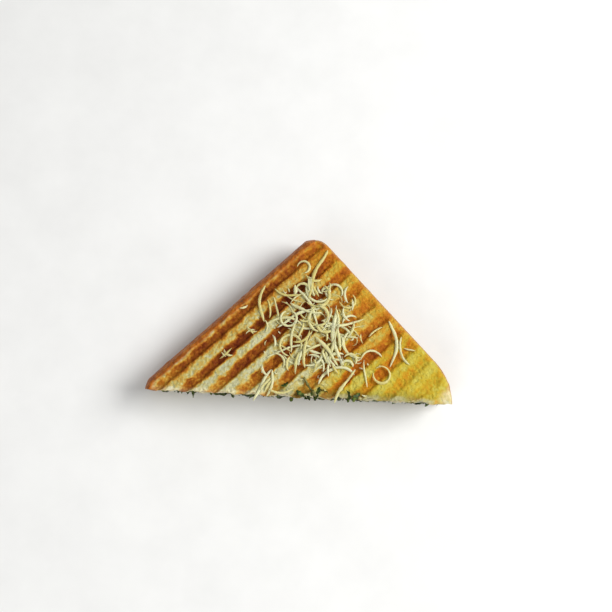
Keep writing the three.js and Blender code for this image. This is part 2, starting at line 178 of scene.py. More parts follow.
def half_slice_edge():
    """The outline of the half slice as points, outward directions, and 1 on crust or 0 on the cut.

    Three arcs, at the left tip, the square corner and the right shoulder, are joined by the
    crust's straight legs, and the cut closes the outline from the right tip to the left.
    """
    arcs = (
        (-CUT_TO_CORNER, 0.0, BASE_CORNER_RADIUS, 180.0, 135.0, (1.0, 0.0)),
        (0.0, CUT_TO_CORNER, BASE_CORNER_RADIUS, 135.0, 45.0, (0.0, -1.0)),
        (CUT_TO_CORNER, 0.0, SHOULDER_RADIUS, 45.0, 0.0, (-1.0, 0.0)),
    )
    stretches = []
    for corner_x, corner_y, radius, start, stop, inward in arcs:
        count = int(np.ceil(radius * np.radians(start - stop) / CRUST_STEP))
        angle = np.radians(np.linspace(start, stop, count + 1))
        out = np.stack([np.cos(angle), np.sin(angle)], axis=1)
        centre = np.array([corner_x, corner_y]) + np.sqrt(2) * radius * np.array(inward)
        if stretches:
            begin, end = stretches[-1][0][-1], centre + radius * out[0]
            share = np.arange(1, int(np.hypot(*(end - begin)) / CRUST_STEP))[:, None]
            share = share / (share[-1] + 1)
            stretches.append((begin + share * (end - begin), out[:1].repeat(len(share), 0), 1.0))
        stretches.append((centre + radius * out, out, 1.0))
    count = int((RIGHT_TIP_X - LEFT_TIP_X) / EDGE_STEP)
    share = (np.arange(count) + 0.5)[:, None] / count
    line = np.array([RIGHT_TIP_X, 0.0]) * (1 - share) + np.array([LEFT_TIP_X, 0.0]) * share
    stretches.append((line, np.array([[0.0, -1.0]]).repeat(count, 0), 0.0))
    points = np.concatenate([part[0] for part in stretches])
    outward = np.concatenate([part[1] for part in stretches])
    on_crust = np.concatenate([np.full(len(part[0]), part[2]) for part in stretches])
    return points, outward, on_crust


EDGE, OUTWARD, ON_CRUST = half_slice_edge()


def leg_reach(y):
    """The x of the left crust and of the right crust, a distance y in from the cut.

    Each is a straight leg at 45 degrees that ends in its corner's circle.
    """
    left_half_chord = np.sqrt(np.clip(BASE_CORNER_RADIUS ** 2 - y ** 2, 0, None))
    right_half_chord = np.sqrt(np.clip(SHOULDER_RADIUS ** 2 - y ** 2, 0, None))
    left_round = LEFT_TIP_X + BASE_CORNER_RADIUS - left_half_chord
    right_round = RIGHT_TIP_X - SHOULDER_RADIUS + right_half_chord
    left = np.where(y < BASE_CORNER_RADIUS / np.sqrt(2), left_round, y - CUT_TO_CORNER)
    right = np.where(y < SHOULDER_RADIUS / np.sqrt(2), right_round, CUT_TO_CORNER - y)
    return left, right


def trimmed_rim(z, phase, inset=0.0, scallop=0.0):
    """The outline at each height z: the crust drawn in by an inset, closed by the knife's cut.

    The cut leans in below the top slice. Near the tips the crust's points are squeezed along the
    legs so that they end on the cut. The cut is a little torn, and its edge is scalloped where
    the grill's bars pressed the bread out.
    """
    lean = CUT_LEAN * np.clip(1.0 - z / OUTER_TOP_AT_CRUST, 0.0, None)
    left, right = leg_reach(lean)
    share = (EDGE[:, 0] - LEFT_TIP_X) / (RIGHT_TIP_X - LEFT_TIP_X)
    cut_x = left + inset + share * (right - left - 2 * inset)
    tips = step_between(0.0, 5.0, np.minimum(cut_x - left, right - cut_x))
    torn = CUT_TEAR * (np.sin(0.41 * cut_x + phase) + np.sin(0.83 * cut_x + 2 * phase + 0.35 * z))
    base, _ = crust_distances(cut_x, 0.0 * cut_x)
    pressed_out = scallop * np.cos(2 * np.pi * (base - GRILL_FIRST) / GRILL_PITCH)
    cut_y = lean + tips * (torn - pressed_out)
    near_cut = EDGE[:, 1] < LEG_SQUEEZE
    squeezed = np.where(near_cut, lean + EDGE[:, 1] * (1 - lean / LEG_SQUEEZE), EDGE[:, 1])
    legs = np.where(EDGE[:, 0] < 0, *leg_reach(squeezed))
    leg_x = np.where(near_cut, legs, EDGE[:, 0]) - inset * OUTWARD[:, 0]
    leg_y = squeezed - inset * OUTWARD[:, 1]
    x = np.where(ON_CRUST > 0, leg_x, cut_x)
    y = np.where(ON_CRUST > 0, leg_y, cut_y)
    return x, y


def wrapped_faces(rows, columns, start=0):
    """Faces of a grid whose columns close into a ring, with a pole point before and after it."""
    place = start + np.arange(rows * columns).reshape(rows, columns)
    beside = np.roll(place, -1, axis=1)
    quads = np.stack([place[:-1], beside[:-1], beside[1:], place[1:]], axis=-1).reshape(-1, 4)
    first_pole = np.full(columns, start + rows * columns)
    last_pole = first_pole + 1
    first_fan = np.stack([first_pole, beside[0], place[0]], axis=1)
    last_fan = np.stack([last_pole, place[-1], beside[-1]], axis=1)
    return quads, np.concatenate([first_fan, last_fan])


def lay_mesh(name, points, quads, fans, masks):
    """Puts points, faces and named masks into a mesh that faces outwards, in its place.

    The faces are turned over where the volume that they enclose, a sum of a . (b x c), is below 0.
    """
    triangles = np.concatenate([quads[:, [0, 1, 2]], quads[:, [0, 2, 3]], fans])
    a, b, c = points[triangles].transpose(1, 0, 2)
    if np.einsum("ij,ij->", a, np.cross(b, c)) < 0:
        quads, fans = quads[:, ::-1], fans[:, ::-1]
    mesh = bpy.data.meshes.new(name)
    placed = (points + PLAN_ORIGIN) * MM
    mesh.from_pydata(placed.tolist(), [], quads.tolist() + fans.tolist())
    mesh.polygons.foreach_set("use_smooth", np.ones(len(mesh.polygons), dtype=bool))
    for mask, values in masks.items():
        attribute = mesh.attributes.new(mask, "FLOAT", "POINT")
        attribute.data.foreach_set("value", np.asarray(values, dtype=np.float32))
    mesh.update()
    piece = bpy.data.objects.new(name, mesh)
    bpy.context.scene.collection.objects.link(piece)
    return piece


def slice_points(outer, inner, phase):
    """The slice as one skin: a profile carried round its outline, from pole to pole.

    The profile starts in the middle of the toasted face, runs out over it, down the edge and
    back in over the hidden face. outer and inner give those faces' heights. Rows on the edge
    are drawn in under the crust's bulge, or follow the knife's cut.
    """
    face_share = np.linspace(0.0, 1.0, FACE_ROWS)[1:, None]
    edge_share = np.linspace(0.0, 1.0, WALL_ROWS)[1:, None]
    hidden_share = np.linspace(1.0, 0.0, HIDDEN_ROWS)[1:-1, None]
    middle_x, middle_y = FACE_MIDDLE
    low_z = inner(EDGE[:, 0], EDGE[:, 1])
    rim_x, rim_y = trimmed_rim(outer(EDGE[:, 0], EDGE[:, 1]), phase, 0.0, CUT_SCALLOP)
    top_z = outer(rim_x, rim_y)
    face_x = middle_x + face_share * (rim_x - middle_x)
    face_y = middle_y + face_share * (rim_y - middle_y)
    wall_z = top_z + edge_share * (low_z - top_z)
    wall_x, wall_y = trimmed_rim(wall_z, phase, 0.0, CUT_SCALLOP * (1 - edge_share))
    tuck = CRUST_TUCK * edge_share ** 2.6 * ON_CRUST
    wall_x = wall_x - tuck * OUTWARD[:, 0]
    wall_y = wall_y - tuck * OUTWARD[:, 1]
    hidden_x = middle_x + hidden_share * (wall_x[-1] - middle_x)
    hidden_y = middle_y + hidden_share * (wall_y[-1] - middle_y)

    x = np.concatenate([face_x, wall_x, hidden_x])
    y = np.concatenate([face_y, wall_y, hidden_y])
    z = np.concatenate([outer(face_x, face_y), wall_z, inner(hidden_x, hidden_y)])
    rows, columns = x.shape
    row = np.arange(rows)[:, None]
    on_face = np.broadcast_to(row < len(face_share), x.shape).astype(float)
    on_hidden = np.broadcast_to(row >= rows - len(hidden_share), x.shape).astype(float)
    on_wall = 1.0 - on_face - on_hidden
    out = np.broadcast_to(np.append(OUTWARD, np.zeros((columns, 1)), axis=1), (rows, columns, 3))
    marks = {
        "wall": on_wall.ravel(),
        "face": on_face.ravel(),
        "crust_side": np.broadcast_to(ON_CRUST, x.shape).ravel(),
    }
    middle = np.array([middle_x]), np.array([middle_y])
    poles = np.array([[middle_x, middle_y, face(*middle)[0]] for face in (outer, inner)])
    return np.stack([x, y, z], axis=-1).reshape(-1, 3), out.reshape(-1, 3), marks, poles, x.shape


def slice_relief(points, marks, crust, cut, seed):
    """How far each place stands up from its face and out from its wall, and where the holes are.

    The toasted face is pitted with small pores. The cut is open crumb: round holes of two sizes,
    pushed in where the grain is high. The crust is smooth, with shallow wrinkles along it.
    """
    pores = rough_grain(points, PORE_SIZE, seed + 2, 3)
    pits = step_between(0.2, 0.9, rough_grain(points, PIT_SIZE, seed + 7, 2))
    raised = marks["face"] * (1.0 - 0.8 * crust) * (PORE_RELIEF * pores - PIT_DEPTH * pits)
    raised *= step_between(0.0, 2.5, edge_distance(*points[:, :2].T))
    holes = step_between(0.1, 0.5, grain(points, HOLE_SIZE, seed + 4))
    small_holes = step_between(0.1, 0.5, grain(points, SMALL_HOLE_SIZE, seed + 5))
    from_tips = np.minimum(points[:, 0] - LEFT_TIP_X, RIGHT_TIP_X - points[:, 0])
    crumb = CRUMB_RELIEF * pores - HOLE_DEPTH * holes - SMALL_HOLE_DEPTH * small_holes
    crumb *= cut * step_between(0.5, 5.0, from_tips)
    wrinkles = 0.25 * grain(points, 6.0, seed + 6) + 0.18 * grain(points, 2.2, seed + 8)
    wrinkles -= 0.25 * step_between(0.2, 0.8, grain(points, 2.8, seed + 9))
    wrinkles *= marks["wall"] * marks["crust_side"] * step_between(0.0, 4.0, points[:, 1])
    sunk = np.where(cut > 0, np.maximum(holes, small_holes), pits * marks["face"])
    return raised, crumb + wrinkles, sunk


def browning(base, side, flat, frayed, seed):
    """How brown the toasted face is, and 1 in a grill bar's band or 0 between the bands.

    A band is a smooth step down on the distance from the bar's middle, with wandering sides. Its
    strength falls off away from the base crust, and near the side crust and the cut. The ground
    between the bands is browner on the first ridge and near the side crust, and both are patchy.
    """
    _, off = off_bar(base - 0.5 * (1.0 - step_between(17.0, 24.0, base)))
    wander = 0.7 * grain(flat, 3.4, seed + 20) + 0.45 * grain(flat, 1.6, seed + 21)
    band = 1.0 - step_between(1.2, 3.5, off + wander)
    patch = grain(flat, 9.0, seed + 22)
    small_patch = grain(flat, 3.0, seed + 24)
    strength = 0.62 + 0.12 * step_between(9.0, 12.0, base) - 0.22 * step_between(16.0, 46.0, base)
    strength -= 0.26 * step_between(64.0, 84.0, base)
    strength *= 0.78 + 0.22 * step_between(5.0, 30.0, side)
    strength *= 0.66 + 0.34 * step_between(2.0, 13.0, flat[:, 1])
    strength += 0.09 * patch + 0.07 * small_patch
    first_ridge = step_between(2.0, 9.0, base) * (1.0 - step_between(9.0, 17.0, base))
    to_shoulder = step_between(58.0, 84.0, base)
    near_side = (1.0 - step_between(4.0, 46.0, side)) * (1.0 - 0.85 * to_shoulder)
    ground = 0.05 + 0.16 * first_ridge + 0.17 * near_side
    ground += 0.06 * (1.0 - step_between(2.0, 9.0, side)) * (1.0 - 0.8 * to_shoulder)
    ground += (0.07 + 0.05 * step_between(50.0, 80.0, base)) * patch + 0.05 * small_patch
    browned = ground + (strength - ground) * band - 0.12 * frayed * (1.0 - band)
    return np.clip(browned, 0.0, 1.0), band


def make_slice(name, outer, inner, up, phase, seed):
    """Works out a slice's skin, its relief and the masks that its finish reads, and lays its mesh.

    The masks say how browned or buttered a place is, how much darker it is along the cut,
    whether it is crust or open crumb, where the pits are, and how far down the wall it lies.
    """
    points, out, marks, poles, (rows, columns) = slice_points(outer, inner, phase)
    base, side = crust_distances(points[:, 0], points[:, 1])
    flat = points * (1.0, 1.0, 0.0)
    on_base_leg = base < side
    crust_width = np.where(on_base_leg, BASE_CRUST_WIDTH, SIDE_CRUST_WIDTH)
    past_crust = edge_distance(*points[:, :2].T) - crust_width + 0.5 * grain(flat, 2.6, seed + 1)
    near_crust = 1.0 - step_between(-0.7, 0.9, past_crust)
    crust = np.maximum(marks["crust_side"] * marks["wall"], near_crust * marks["face"])
    cut = marks["wall"] * (1.0 - marks["crust_side"])
    raised, pushed_out, sunk = slice_relief(points, marks, crust, cut, seed)
    points = points + out * pushed_out[:, None]
    points[:, 2] = points[:, 2] + up * raised
    if up < 0:
        points[:, 2] = np.maximum(points[:, 2], 0.0)

    frayed = 1.0 - step_between(0.4, 2.6, points[:, 1] + 0.8 * grain(flat, 2.2, seed + 25))
    browned, band = browning(base, side, flat, frayed, seed)
    from_left = step_between(-24.0, -6.0, flat[:, 0])
    # A mask that darkens the face to olive along the cut, between x -24 and 62 mm.
    darker_at_cut = from_left * (1.0 - step_between(50.0, 62.0, flat[:, 0]))
    darker_at_cut *= 1.0 - step_between(0.5, 5.5, flat[:, 1] + 1.2 * grain(flat, 3.0, seed + 27))
    worn_tip = step_between(92.0, 101.0, base + 3.0 * grain(flat, 4.0, seed + 26) - 0.2 * side)
    worn_edge = 0.75 * frayed * (1.0 - 0.85 * band) * (1.0 - 0.7 * from_left)
    worn = np.maximum(worn_edge, 0.7 * worn_tip) * (1.0 - crust)
    buttered = step_between(34.0, 74.0, base + 10.0 * grain(flat, 13.0, seed + 23))
    buttered = np.maximum(buttered, 0.75 * (1.0 - step_between(4.0, 24.0, side)))
    down_wall = np.abs(points[:, 2] - outer(points[:, 0], points[:, 1]))
    masks = {
        "browned": browned,
        "buttered": buttered * (1.0 - 0.7 * frayed),
        "darker_at_cut": darker_at_cut * marks["face"],
        "crust": crust,
        "crumb": np.maximum(cut, 1.0 - marks["wall"] - marks["face"]) + worn * marks["face"],
        "base_crust": on_base_leg * 1.0,
        # The pits mask also darkens the crumb's holes, as painted shade.
        "pits": sunk,
        "depth": np.where(marks["wall"] > 0, down_wall, 4.0 * (1.0 - crust)),
    }
    points = np.concatenate([points, poles])
    masks = {mask: np.append(values, [values[0], values[-1]]) for mask, values in masks.items()}
    quads, fans = wrapped_faces(rows, columns)
    return lay_mesh(name, points, quads, fans, masks)


def tint(red, green, blue):
    """A screen colour, 0 to 255 a channel, as the linear colour that a shader takes."""
    screen = np.array([red, green, blue]) / 255.0
    linear = np.where(screen <= 0.04045, screen / 12.92, ((screen + 0.055) / 1.055) ** 2.4)
    return (*linear.tolist(), 1.0)


def node(tree, kind, inputs=None, **settings):
    """Adds a shader node with its settings. An input is a value, or another node's output."""
    new = tree.nodes.new("ShaderNode" + kind)
    for setting, value in settings.items():
        setattr(new, setting, value)
    for socket, value in (inputs or {}).items():
        if isinstance(value, bpy.types.NodeSocket):
            tree.links.new(value, new.inputs[socket])
        else:
            new.inputs[socket].default_value = value
    return new


def mask_of(tree, name):
    """The value of one of the piece's named masks."""
    return node(tree, "Attribute", attribute_name=name).outputs["Fac"]


def maths(tree, operation, first, second):
    """One sum on two values."""
    return node(tree, "Math", {0: first, 1: second}, operation=operation).outputs[0]


def swing(tree, noise, middle, strength):
    """A noise as a swing about zero: its middle value taken off, times a strength."""
    return maths(tree, "MULTIPLY", maths(tree, "SUBTRACT", noise, middle), strength)


def ranged(tree, value, low, high, start=0.0, end=1.0):
    """A value that runs from low to high, as one that runs from start to end and stops there."""
    limits = {"From Min": low, "From Max": high, "To Min": start, "To Max": end}
    return node(tree, "MapRange", {"Value": value, **limits}).outputs[0]


def blend(tree, factor, first, second):
    """Mixes two colours: the first where the factor is 0, the second where it is 1."""
    inputs = {"Factor": factor, 6: first, 7: second}
    return node(tree, "Mix", inputs, data_type="RGBA").outputs[2]


def colour_ramp(tree, factor, stops):
    """A run of colours along a value."""
    ramp = node(tree, "ValToRGB", {"Fac": factor})
    elements = ramp.color_ramp.elements
    while len(elements) < len(stops):
        elements.new(0.5)
    for element, (position, colour) in zip(elements, stops):
        element.position = position
        element.color = colour
    return ramp.outputs["Color"]


def speckle(tree, size, detail=2.0, stretch=None):
    """Fine noise of a size in millimetres, or stretched along the base crust or the side crust."""
    where = node(tree, "TexCoord").outputs["Object"]
    if stretch:
        turn = {"base": np.radians(-45.0), "side": np.radians(45.0)}[stretch]
        where = node(tree, "Mapping", {"Vector": where, "Rotation": (0.0, 0.0, turn)}).outputs[0]
        where = node(tree, "Mapping", {"Vector": where, "Scale": (0.2, 1.0, 1.0)}).outputs[0]
    inputs = {"Vector": where, "Scale": 1.0 / (size * MM), "Detail": detail, "Roughness": 0.6}
    return node(tree, "TexNoise", inputs).outputs["Fac"]


def pores_of(tree, size):
    """Round pores of a size in millimetres: 0 in the middle of each, near 1 between them."""
    where = node(tree, "TexCoord").outputs["Object"]
    inputs = {"Vector": where, "Scale": 1.0 / (size * MM), "Smoothness": 0.35}
    return node(tree, "TexVoronoi", inputs, feature="SMOOTH_F1").outputs["Distance"]


def start_material(name):
    """An empty material and its shader, ready to be wired."""
    material = bpy.data.materials.new(name)
    material.use_nodes = True
    tree = material.node_tree
    return material, tree, tree.nodes["Principled BSDF"]


def pit_with(tree, shader, height, strength, depth):
    """Roughens the surface by a height, as a bump of a depth in millimetres."""
    inputs = {"Height": height, "Strength": strength, "Distance": depth * MM}
    tree.links.new(node(tree, "Bump", inputs).outputs[0], shader.inputs["Normal"])


def toasted_face(tree, coarse, pores, pin_holes):
    """The toasted face by how browned it is: cream, gold, orange, brown and nearly burnt.

    Dry bread is creamier and buttered bread yellower and calmer. Pores mottle it, its pin holes
    are darkened with painted shade, and it is darker and olive along the cut.
    """
    mottle = maths(tree, "ADD", swing(tree, speckle(tree, 1.2, 3.0), 0.5, 0.45),
                   swing(tree, coarse, 0.5, 0.45))
    mottle = maths(tree, "ADD", mottle, swing(tree, pores, 0.42, 0.22))
    calm = ranged(tree, mask_of(tree, "buttered"), 0.0, 1.0, 1.0, 0.5)
    browned = maths(tree, "ADD", mask_of(tree, "browned"), maths(tree, "MULTIPLY", mottle, calm))
    browned = maths(tree, "SUBTRACT", browned, maths(tree, "MULTIPLY", mask_of(tree, "pits"), 0.12))
    dry = colour_ramp(tree, browned, (
        (0.0, tint(194, 192, 150)), (0.14, tint(192, 177, 104)), (0.3, tint(196, 150, 58)),
        (0.46, tint(168, 104, 26)), (0.62, tint(140, 74, 18)), (0.78, tint(112, 46, 14)),
        (1.0, tint(76, 22, 8)),
    ))
    buttery = colour_ramp(tree, browned, (
        (0.0, tint(192, 180, 76)), (0.16, tint(186, 160, 42)), (0.32, tint(188, 134, 22)),
        (0.48, tint(180, 104, 14)), (0.66, tint(142, 68, 12)), (1.0, tint(84, 28, 8)),
    ))
    face = blend(tree, mask_of(tree, "buttered"), dry, buttery)
    # Painted shade: the pin holes are darkened towards brown.
    shade_in_holes = maths(tree, "MULTIPLY", maths(tree, "SUBTRACT", 1.0, pin_holes), coarse)
    face = blend(tree, maths(tree, "MULTIPLY", shade_in_holes, 0.22), face, tint(140, 88, 22))
    # Darker and olive along the cut, by the mask.
    cut_darkening = maths(tree, "MULTIPLY", mask_of(tree, "darker_at_cut"), 0.55)
    return blend(tree, cut_darkening, face, tint(98, 96, 36))


def rind(tree, coarse):
    """The crust: browns streaked along its length, paler half way down the wall."""
    streaks = {
        side: blend(tree, 0.65, speckle(tree, 1.4, 3.0, side), speckle(tree, 3.6, 5.0))
        for side in ("base", "side")
    }
    base_rind = colour_ramp(tree, streaks["base"], (
        (0.34, tint(116, 58, 14)), (0.45, tint(158, 84, 20)), (0.55, tint(182, 104, 27)),
        (0.68, tint(202, 134, 52)),
    ))
    side_rind = colour_ramp(tree, streaks["side"], (
        (0.34, tint(142, 86, 26)), (0.5, tint(168, 114, 42)), (0.66, tint(192, 144, 72)),
    ))
    browns = blend(tree, mask_of(tree, "base_crust"), side_rind, base_rind)
    down_wall = maths(tree, "DIVIDE", mask_of(tree, "depth"), 10.0)
    down_wall = maths(tree, "ADD", down_wall, maths(tree, "MULTIPLY", coarse, 0.2))
    paler = colour_ramp(tree, down_wall, (
        (0.12, tint(0, 0, 0)), (0.42, tint(176, 176, 176)), (0.66, tint(176, 176, 176)),
        (0.95, tint(0, 0, 0)),
    ))
    patchy = maths(tree, "MULTIPLY", paler, speckle(tree, 1.2, 3.0))
    return blend(tree, patchy, browns, tint(216, 168, 94))


def open_crumb(tree):
    """The crumb: off-white, with painted shade in its holes, under a thin toasted skin."""
    crumb = colour_ramp(tree, speckle(tree, 2.2, 3.0), (
        (0.34, tint(206, 194, 146)), (0.52, tint(222, 213, 176)), (0.68, tint(234, 229, 204)),
    ))
    # Painted shade: the crumb is darkened in its holes.
    shade_in_holes = maths(tree, "MULTIPLY", mask_of(tree, "pits"), 0.5)
    crumb = blend(tree, shade_in_holes, crumb, tint(182, 162, 108))
    below_skin = ranged(tree, mask_of(tree, "depth"), 0.2, 1.6)
    return blend(tree, below_skin, tint(196, 148, 66), crumb)


def toasted_bread_finish():
    """Toasted bread: its face, crust and crumb by the masks, pitted, and oiliest on the crust."""
    material, tree, shader = start_material("toasted_bread")
    coarse = speckle(tree, 3.4, 2.0)
    pores = pores_of(tree, 1.7)
    pin_holes = ranged(tree, pores_of(tree, 0.9), 0.1, 0.3)
    face = toasted_face(tree, coarse, pores, pin_holes)
    skin = blend(tree, mask_of(tree, "crust"), face, rind(tree, coarse))
    colour = blend(tree, mask_of(tree, "crumb"), skin, open_crumb(tree))
    tree.links.new(colour, shader.inputs["Base Color"])
    butter = maths(tree, "MULTIPLY", mask_of(tree, "buttered"), 0.4)
    oiled = maths(tree, "ADD", mask_of(tree, "crust"), butter)
    tree.links.new(ranged(tree, oiled, 0.0, 1.0, 0.8, 0.42), shader.inputs["Roughness"])
    shader.inputs["Specular IOR Level"].default_value = 0.13
    shader.inputs["Subsurface Weight"].default_value = 0.08
    shader.inputs["Subsurface Radius"].default_value = (1.0, 0.55, 0.25)
    shader.inputs["Subsurface Scale"].default_value = 1.2 * MM
    height = maths(tree, "ADD", maths(tree, "MULTIPLY", pores, 1.2), speckle(tree, 0.9, 4.0))
    height = maths(tree, "ADD", height, maths(tree, "MULTIPLY", pin_holes, 0.35))
    pit_with(tree, shader, height, 0.9, 0.65)
    return material


def underside(x, y):
    """The lower slice's pressed face: flat ridges on the table, grooves above, a rounded crust."""
    points = np.stack([x, y, np.zeros_like(x)], axis=-1).reshape(-1, 3)
    grooves = UNDERSIDE_GRILL_DEPTH * groove_depth(x.ravel(), y.ravel(), points).reshape(x.shape)
    return grooves + edge_drop(edge_distance(x, y))


def lower_inner(x, y):
    """The lower slice's hidden face, flat under the filling."""
    return np.full_like(x, BOTTOM_SLICE_TOP)


bread_finish = toasted_bread_finish()
lower_slice = make_slice("lower_slice", underside, lower_inner, -1.0, 1.3, 100)
lower_slice.data.materials.append(bread_finish)
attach(lower_slice, "root")
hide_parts("bread_bottom")

# ======== The green filling ========
# Chopped greens and herbs cooked down to a dark, moist layer, spread short of the crusts. It is
# pressed between the slices, so it is thin at the crusts and thick in the middle of the cut, and
# scraps of leaf stick out where the knife went through.

GAP = 0.3
FILLING_TOP_AT_CRUST = 12.0
MIDDLE_LIFT = 5.0
LIFT_REACH = 34.0
FILLING_SETBACK = 3.4
GOLDEN = 0.6180339887
FILLING_TOP_ROWS = 40
FILLING_EDGE_ROWS = 18
FILLING_UNDER_ROWS = 10
LEAF_SCRAPS = 12
SCRAP_LENGTH = 5.5
SCRAP_WIDTH = 1.5
LEAF_BITS = 150
BIT_LENGTH = 2.8
BIT_WIDTH = 0.6
LEAF_ACROSS = 124.0
LEAF_THICKNESS = 0.5


def middle_lift(x, y):
    """How far the filling lifts the top slice: not at all at the crusts, fully in the middle."""
    base, side = crust_distances(x, y)
    return MIDDLE_LIFT * step_between(-6.0, LIFT_REACH, base) * step_between(-6.0, LIFT_REACH, side)


def spread(index):
    """An even spread over 0 to 1."""
    return (0.5 + index * GOLDEN) % 1.0


def draw(index, kind):
    """A seeded draw from 0 to 1, with its own value for each index and kind."""
    wide = np.sin(index * 12.9898 + kind * 78.233) * 43758.5453
    return wide - np.floor(wide)


def filling_points():
    """The layer as one skin: its outline drawn in from the slices', and lumpy all over.

    The profile runs from the middle of its top, out, down the edge and back in underneath.
    """
    over = np.linspace(0.0, 1.0, FILLING_TOP_ROWS)[1:]
    down = np.linspace(1.0, 0.0, FILLING_EDGE_ROWS)[1:-1]
    under = np.linspace(1.0, 0.0, FILLING_UNDER_ROWS)[1:-1]
    shares = np.concatenate([over, np.ones(len(down)), under])[:, None]
    heights = np.concatenate([np.ones(len(over)), down, np.zeros(len(under))])[:, None]
    bottom = BOTTOM_SLICE_TOP + 0.1
    rim_z = bottom + heights * (FILLING_TOP_AT_CRUST + middle_lift(EDGE[:, 0], EDGE[:, 1]) - bottom)
    rim_x, rim_y = trimmed_rim(rim_z, 2.7, FILLING_SETBACK)
    x = FACE_MIDDLE[0] + shares * (rim_x - FACE_MIDDLE[0])
    y = FACE_MIDDLE[1] + shares * (rim_y - FACE_MIDDLE[1])
    top = FILLING_TOP_AT_CRUST + middle_lift(x, y)
    points = np.stack([x, y, bottom + heights * (top - bottom)], axis=-1)
    skin = points.reshape(-1, 3)
    lumps = rough_grain(skin, 3.4, 301, 3) - 0.7 * step_between(0.1, 0.7, grain(skin, 2.0, 309))
    lumpy = (1.4 * lumps + 0.9 * grain(skin, 7.0, 311) + 0.4).reshape(x.shape)
    tips = step_between(0.0, 6.0, np.minimum(x - LEFT_TIP_X, RIGHT_TIP_X - x) - FILLING_SETBACK)
    bulge = (shares > 0.999) * lumpy * tips
    points[..., 0] += bulge * OUTWARD[:, 0]
    points[..., 1] += bulge * OUTWARD[:, 1]
    poles = np.array([[*FACE_MIDDLE, top[0].mean()], [*FACE_MIDDLE, bottom]])
    return np.concatenate([points.reshape(-1, 3), poles]), wrapped_faces(*x.shape)


def leaf_scrap(index, place, length, width, turn, droop=0.9):
    """A thin wavy strip of torn leaf, as a ring of eight points carried along it.

    Its outline is pointed at both ends and ragged between, and it is rolled about its length. It
    droops as a square of the way.
    """
    x, y, z = place
    along = np.linspace(0.0, 1.0, 13)[:, None]
    around = np.linspace(0.0, 2 * np.pi, 9)[:-1][None, :]
    pointed = np.sin(np.pi * (0.05 + 0.9 * along))
    outline = pointed ** 0.7 * (1.0 + 0.3 * np.sin(17 * along + 3 * index))
    half_width = width * outline * np.cos(around)
    thick = 0.5 * LEAF_THICKNESS * np.sin(around) * pointed ** 0.5
    out = (along - 0.55) * length
    roll = 2.4 * (draw(index, 10) - 0.5)
    raised = half_width * np.sin(roll)
    sideways = half_width * np.cos(roll) + 0.4 * np.sin(4 * along + 2 * index)
    wave = 0.35 * np.sin(6 * along + index + 1.2 * np.cos(around)) + 0.25 * np.cos(around) ** 2
    strip_x = x + sideways * np.cos(turn) - out * np.sin(turn)
    strip_y = y - out * np.cos(turn) - sideways * np.sin(turn)
    strip_z = z + wave + thick + raised - droop * along ** 2
    strip = np.stack(np.broadcast_arrays(strip_x, strip_y, strip_z), axis=-1)
    poles = strip[[0, -1]].mean(axis=1)
    return np.concatenate([strip.reshape(-1, 3), poles]), strip.shape[:2]


def filling_finish():
    """Dark moist greens: patches of near black, bottle green and olive."""
    material, tree, shader = start_material("cooked_greens")
    fine = speckle(tree, 1.8, 4.0)
    greens = colour_ramp(tree, blend(tree, 0.5, fine, speckle(tree, 4.5, 2.0)), (
        (0.36, tint(12, 16, 4)), (0.46, tint(32, 42, 10)), (0.54, tint(66, 80, 22)),
        (0.64, tint(124, 126, 50)),
    ))
    leaf = colour_ramp(tree, fine, (
        (0.3, tint(30, 46, 10)), (0.5, tint(62, 84, 22)), (0.7, tint(118, 130, 50)),
    ))
    tree.links.new(blend(tree, mask_of(tree, "leaf"), greens, leaf), shader.inputs["Base Color"])
    shader.inputs["Roughness"].default_value = 0.4
    shader.inputs["Specular IOR Level"].default_value = 0.3
    shader.inputs["Subsurface Weight"].default_value = 0.1
    shader.inputs["Subsurface Radius"].default_value = (0.4, 0.8, 0.2)
    shader.inputs["Subsurface Scale"].default_value = 1.0 * MM
    pit_with(tree, shader, speckle(tree, 0.9, 4.0), 0.8, 0.6)
    return material


def joined_parts(parts):
    """Closed grids of points, each with its shape, as one list of points and of faces."""
    points, quads, fans = [], [], []
    start = 0
    for grid, shape in parts:
        more_quads, more_fans = wrapped_faces(*shape, start=start)
        points.append(grid)
        quads.append(more_quads)
        fans.append(more_fans)
        start += len(grid)
    return np.concatenate(points), np.concatenate(quads), np.concatenate(fans)


def make_filling():
    """The layer and its leaf in one mesh: the larger scraps first, then the small bits."""
    layer, (quads, fans) = filling_points()
    scraps = []
    for index in range(LEAF_SCRAPS + LEAF_BITS):
        small = index >= LEAF_SCRAPS
        x = LEAF_ACROSS * (spread(index) - 0.5)
        length = (BIT_LENGTH if small else SCRAP_LENGTH) * (0.6 + 0.8 * draw(index, 7))
        thickness = FILLING_TOP_AT_CRUST + middle_lift(x, 0.0) - BOTTOM_SLICE_TOP
        z = BOTTOM_SLICE_TOP + 0.9 + (thickness - 1.6) * draw(index, 8)
        width = (BIT_WIDTH if small else SCRAP_WIDTH) * (0.7 + 0.6 * draw(index, 9))
        scraps.append(leaf_scrap(index, (x, 1.2, z), length, width, 2.6 * (draw(index, 6) - 0.5)))
    strips, strip_quads, strip_fans = joined_parts(scraps)
    points = np.concatenate([layer, strips])
    quads = np.concatenate([quads, strip_quads[:, ::-1] + len(layer)])
    fans = np.concatenate([fans, strip_fans[:, ::-1] + len(layer)])
    leaf = np.append(np.zeros(len(layer)), np.ones(len(strips)))
    return lay_mesh("green_layer", points, quads, fans, {"leaf": leaf})


green_layer = make_filling()
green_layer.data.materials.append(filling_finish())
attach(green_layer, "root")
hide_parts("green_filling")

# ======== The upper slice of bread ========
# The same loaf and grill as the lower slice, browned side up. It drapes over the filling, so it
# is lifted in the middle and pressed down at the crusts.

GRILL_DEPTH = 1.7


def ridge_height(x, y):
    """The level of the toasted ridges: the crust's height, the lift and a long unevenness."""
    base, side = crust_distances(x, y)
    uneven = 0.3 * np.sin(base / 11 + 0.8) * np.sin(side / 13 + 0.4)
    return OUTER_TOP_AT_CRUST + middle_lift(x, y) + uneven


